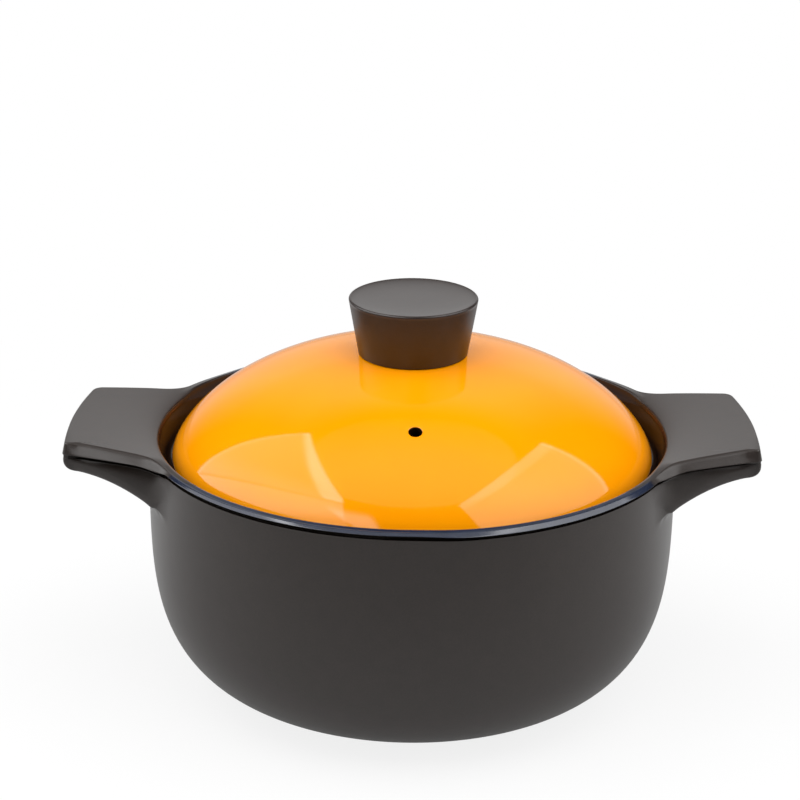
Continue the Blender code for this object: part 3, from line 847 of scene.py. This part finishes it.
satin, bench, place, shader = new_glaze("brown_grey_satin_glaze")
grain = bench.noise(place, 1400, 3, 0.6)
mottle = bench.noise(place, 170, 4, 0.6)
colour = bench.mix(bench.step(mottle * 0.6 + grain * 0.4, 0.36, 0.64), tint(32, 22, 18), tint(39, 28, 23))
bench.plug(shader.inputs["Base Color"], colour)
bench.plug(shader.inputs["Roughness"], 0.32 + grain * 0.06)
shader.inputs["IOR"].default_value = 1.6
height = bench.add("ShaderNodeSeparateXYZ", None, {0: place}, output=2)
top_coat = bench.step(height, *(KNOB_LEVEL + KNOB_HEIGHT - depth for depth in KNOB_COAT))
bench.plug(shader.inputs["Coat Weight"], top_coat * 0.6)
shader.inputs["Coat Roughness"].default_value = 0.34
bump = bench.add(
    "ShaderNodeBump", None, {"Strength": 0.12, "Distance": 0.2 * MM, "Height": grain * 0.5 + mottle * 0.5}
)
bench.plug(shader.inputs["Normal"], bump)

knob_sizes = {
    "Height": KNOB_HEIGHT, "Base radius": KNOB_BASE_RADIUS, "Top radius": KNOB_TOP_RADIUS,
    "Edge": KNOB_EDGE, "Dish": KNOB_DISH, "Level": KNOB_LEVEL,
}
bench, (height, base_r, top_r, brim, dish, level) = new_tree("lid_knob_tree", knob_sizes)
flat = top_r - brim
heel_r = base_r - KNOB_HEEL
knob = turned_piece(bench, [
    (24, (flat, height), (0.0, height - dish), (3.0, 1.6)),
    (10, (top_r, height - brim), (flat, height), round_powers),
    (24, (top_r, height - brim), (base_r, KNOB_HEEL), straight),
    (5, (base_r, KNOB_HEEL), (heel_r, 0.0), round_powers),
    (16, (heel_r, 0.0), (0.0, 0.0), straight),
], 144)
lift = bench.add("ShaderNodeCombineXYZ", None, {"Z": level})
knob = bench.add("GeometryNodeTransform", None, {"Geometry": knob, "Translation": lift})
finished(bench, knob, satin)
knob_piece = modelled("lid_knob_turning", bench.tree, knob_sizes)
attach(knob_piece, "lid")
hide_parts("lid_knob")

# Studio
# A pale table that shows white to the camera, in a painted room that only mirror rays see: dark in front, a
# pale wall behind, a ceiling panel, two large soft boxes, a narrow strip and a back panel. Three area lamps
# light the pot softly, without showing in its glazes.
TABLE_RADIUS = 4.0
TABLE_GREY = (0.82, 0.82, 0.82, 1.0)
ROOM_FILL = 0.4  # light from the room for rays that neither the camera nor a mirror sends
CEILING_LEVEL = 0.52
STRIP_LEVEL = 2.7
PANEL_LEVEL = 0.25
LAMP_AIM = (0, 0, 0.12)

floor_mesh = bpy.data.meshes.new("table_top")
shape = bmesh.new()
bmesh.ops.create_circle(shape, cap_ends=True, segments=96, radius=TABLE_RADIUS)
shape.to_mesh(floor_mesh)
shape.free()
table = bpy.data.objects.new("table_top", floor_mesh)
bpy.context.scene.collection.objects.link(table)
paper = bpy.data.materials.new("pale_table_paper")
paper.use_nodes = True
bench = Bench(paper.node_tree)
shader = paper.node_tree.nodes["Principled BSDF"]
shader.inputs["Base Color"].default_value = TABLE_GREY
shader.inputs["Roughness"].default_value = 0.9
path = bench.add("ShaderNodeLightPath")
is_camera, is_glossy = path.other(0), path.other(3)

# To the camera the table glows white, with some of its real shade left round the foot. To mirror rays it
# glows less: least in front of the pot, and most just behind it.
spot = bench.add("ShaderNodeTexCoord", output=3)
away = bench.add("ShaderNodeVectorMath", {"operation": "LENGTH"}, {0: spot}, output=1)
behind = bench.add("ShaderNodeSeparateXYZ", None, {0: spot}, output=1)
room = 0.07 + 0.2 * bench.step(behind, -0.36, -0.1) + 0.32 * bench.step(behind, -0.05, 0.2)
room = room - 0.22 * bench.step(behind, 0.2, 0.5)
level = room + (1 - room) * is_camera
glow = bench.add("ShaderNodeEmission", None, {"Color": (1, 1, 1, 1), "Strength": level})
white = 0.84 + 0.16 * bench.step(away, 0.14, 0.5)
seen = is_camera * white + is_glossy * 0.75
plain = Value(paper.node_tree, shader.outputs[0])
both = bench.add("ShaderNodeMixShader", None, {0: seen, 1: plain, 2: glow})
bench.plug(paper.node_tree.nodes["Material Output"].inputs["Surface"], both)
floor_mesh.materials.append(paper)

world = bpy.data.worlds.new("studio")
world.use_nodes = True
bpy.context.scene.world = world
bench = Bench(world.node_tree)
heading = bench.add("ShaderNodeTexCoord", output=0)
sideways = bench.add("ShaderNodeSeparateXYZ", None, {0: heading})
depth, upward = sideways.other(1), sideways.other(2)

# Pale wall behind, which darkens upwards, and a ceiling panel that fades towards its front and back.
wall_height = 0.54 - 0.11 * bench.step(upward, 0.33, 0.45) - 0.43 * bench.step(upward, 0.68, 0.86)
wall = (1 - bench.step(abs(sideways) + 0.25 * upward, 0.32, 0.7)) * bench.step(depth, 0.2, 0.45) * wall_height
from_middle = (depth + 0.12) / 0.62
fade = from_middle.math("MAXIMUM", 1 - from_middle * from_middle, 0.0)
ceiling = bench.step(upward, 0.855, 0.868) * fade * CEILING_LEVEL

# Seen from the pot, a straight edge of a box is a straight line both on a level ceiling (plan_x, plan_y)
# and on an upright side wall (run, rise).
over = upward.math("MAXIMUM", upward, 0.02)
plan_x, plan_y = sideways / over, depth / over
out = sideways.math("MAXIMUM", abs(sideways), 0.02)
rise, run = upward / out, depth / out


def within(value, low, high, soft):
    """1 between two limits, with soft ends. A limit of None leaves that side open."""
    inside = 1.0
    if low is not None:
        inside = inside * bench.step(value - low, -soft, soft)
    if high is not None:
        inside = inside * (1 - bench.step(value - high, -soft, soft))
    return inside


def enclosed(*limits):
    """1 where all the limits hold. Each one is (value, low, high, soft)."""
    inside = 1.0
    for limit in limits:
        inside = inside * within(*limit)
    return inside


def brightness(level, *changes):
    """A box's level, with the amount of each change added by its share."""
    for amount, share in changes:
        level = level + amount * share
    return level


# Left box. A seam with a thin dark line crosses it. It is brighter beyond the seam, up to its dim far end,
# and brightest along its inner edge, on the seam's other side.
left_end = run - 0.24 * rise
left = enclosed(
    (sideways, None, 0.0, 0.01),
    (plan_x, None, -0.478, 0.006),
    (rise + 0.37 * run, 0.352, None, 0.012),
    (left_end, None, 0.59, 0.012),
    (run - 0.834 * rise, -2.597, None, 0.02),
)
seam = rise + 1.11 * run - 0.87
inner_edge = within(plan_x - 0.15 * plan_y, -0.585, None, 0.03)
left_level = brightness(
    1.15,
    (0.75, bench.step(seam, 0.7, 0.0)),
    (0.6, bench.step(seam, 0.02, -0.06)),
    (0.2, bench.step(seam, -0.05, -0.5)),
    (-0.7, within(seam, -0.025, 0.025, 0.012)),
    (-1.2, bench.step(seam, -0.5, -1.1)),
    (3.0, inner_edge * within(seam, 0.05, None, 0.04)),
    (0.9, within(left_end, 0.55, None, 0.02)),
)

# Right box. It is brighter towards the front, at its inner edge and at its back end, and dimmer low in front.
inner_edge = plan_x - 0.31 * plan_y
right_end = run - 0.43 * rise
right = enclosed(
    (sideways, 0.0, None, 0.01),
    (inner_edge, 0.5, None, 0.006),
    (right_end, None, 0.19, 0.012),
    (rise, 0.27, None, 0.012),
    (rise + 0.26 * run, 0.285, None, 0.012),
    (run, -1.51, None, 0.02),
)
right_level = brightness(
    1.35,
    (0.6, bench.step(run, 0.5, -0.3)),
    (-0.5, bench.step(rise, 0.8, 0.35) * bench.step(run, 0.0, -0.5)),
    (0.85, within(inner_edge, None, 0.6, 0.03)),
    (1.2, within(right_end, 0.14, None, 0.02)),
)

# A strip in front at the left, and a dim panel behind the middle of the pot.
strip = enclosed((plan_x - 0.1 * plan_y, -0.64, -0.28, 0.05), (upward, 0.22, 0.74, 0.05))
strip = strip * bench.step(depth, -0.3, -0.45)
panel = enclosed((sideways, -0.08, 0.08, 0.02), (upward, 0.1, 0.52, 0.04)) * bench.step(depth, 0.2, 0.45)
mirrored = wall + ceiling + left * left_level + right * right_level
mirrored = mirrored + strip * STRIP_LEVEL + panel * PANEL_LEVEL
path = bench.add("ShaderNodeLightPath")
is_camera, is_glossy = path.other(0), path.other(3)
lit = ROOM_FILL + (mirrored - ROOM_FILL) * is_glossy
strength = lit + (1 - lit) * is_camera
background = world.node_tree.nodes["Background"]
background.inputs["Color"].default_value = (1, 1, 1, 1)
bench.plug(background.inputs["Strength"], strength)


def soft_box(name, corner, along_top, down, power):
    """A rectangular lamp from one top corner, its top edge and its slanting side, turned to the pot."""
    corner, along_top, down = Vector(corner), Vector(along_top), Vector(down)
    data = bpy.data.lights.new(name, "AREA")
    data.shape = "RECTANGLE"
    data.size, data.size_y = along_top.length, down.length
    data.energy = power
    lamp = bpy.data.objects.new(name, data)
    across, below = along_top.normalized(), down.normalized()
    centre = corner + (along_top + down) / 2
    normal = across.cross(below)
    if normal.dot(Vector(LAMP_AIM) - centre) > 0:
        normal.negate()
        across.negate()
    lamp.matrix_world = Matrix((across, -below, normal)).transposed().to_4x4()
    lamp.matrix_world.translation = centre
    lamp.visible_camera = False
    lamp.visible_glossy = False
    bpy.context.scene.collection.objects.link(lamp)


soft_box("left_soft_box", (-0.62, 0.60, 1.40), (0, -1.22, 0), (-0.36, 0, -1.08), 7.9)
soft_box("right_soft_box", (0.70, 0.55, 1.40), (-0.10, -1.15, 0), (0.36, 0, -1.10), 7.5)
soft_box("top_fill", (-0.8, -1.2, 1.7), (1.6, 0, 0), (0, 1.5, 0), 18.8)

# Camera at the photograph's place, with the photograph's frame of 800 by 800.
CAMERA_DISTANCE = 1.1
CAMERA_PITCH = radians(20.688)
CAMERA_ROLL = radians(0.576)
MOUTH_PIXEL = (412.534, 431.426)
FOCAL_PIXELS = 2568.1
FRAME_PIXELS = 800
forward = Vector((0, cos(CAMERA_PITCH), -sin(CAMERA_PITCH)))
above = Vector((0, sin(CAMERA_PITCH), cos(CAMERA_PITCH)))
right = Vector((1, 0, 0))
dip = atan((MOUTH_PIXEL[1] - FRAME_PIXELS / 2) / FOCAL_PIXELS)
yaw = -atan((MOUTH_PIXEL[0] - FRAME_PIXELS / 2) / FOCAL_PIXELS)
aimed = forward * cos(dip) + above * sin(dip)
top = above * cos(dip) - forward * sin(dip)
aim = aimed * cos(yaw) + right * sin(yaw)
right = right * cos(yaw) - aimed * sin(yaw)
turn_cos, turn_sin = cos(CAMERA_ROLL), sin(CAMERA_ROLL)
right, top = right * turn_cos + top * turn_sin, top * turn_cos - right * turn_sin
lens = bpy.data.cameras.new("photo_camera")
lens.sensor_width = 36
lens.lens = FOCAL_PIXELS * lens.sensor_width / FRAME_PIXELS
lens.clip_start, lens.clip_end = 0.01, 100
camera = bpy.data.objects.new("photo_camera", lens)
camera.matrix_world = Matrix((right, top, -aim)).transposed().to_4x4()
camera.matrix_world.translation = Vector((0, 0, RIM_HEIGHT)) - forward * CAMERA_DISTANCE
bpy.context.scene.collection.objects.link(camera)
bpy.context.scene.camera = camera
bpy.context.scene.view_settings.view_transform = "Standard"
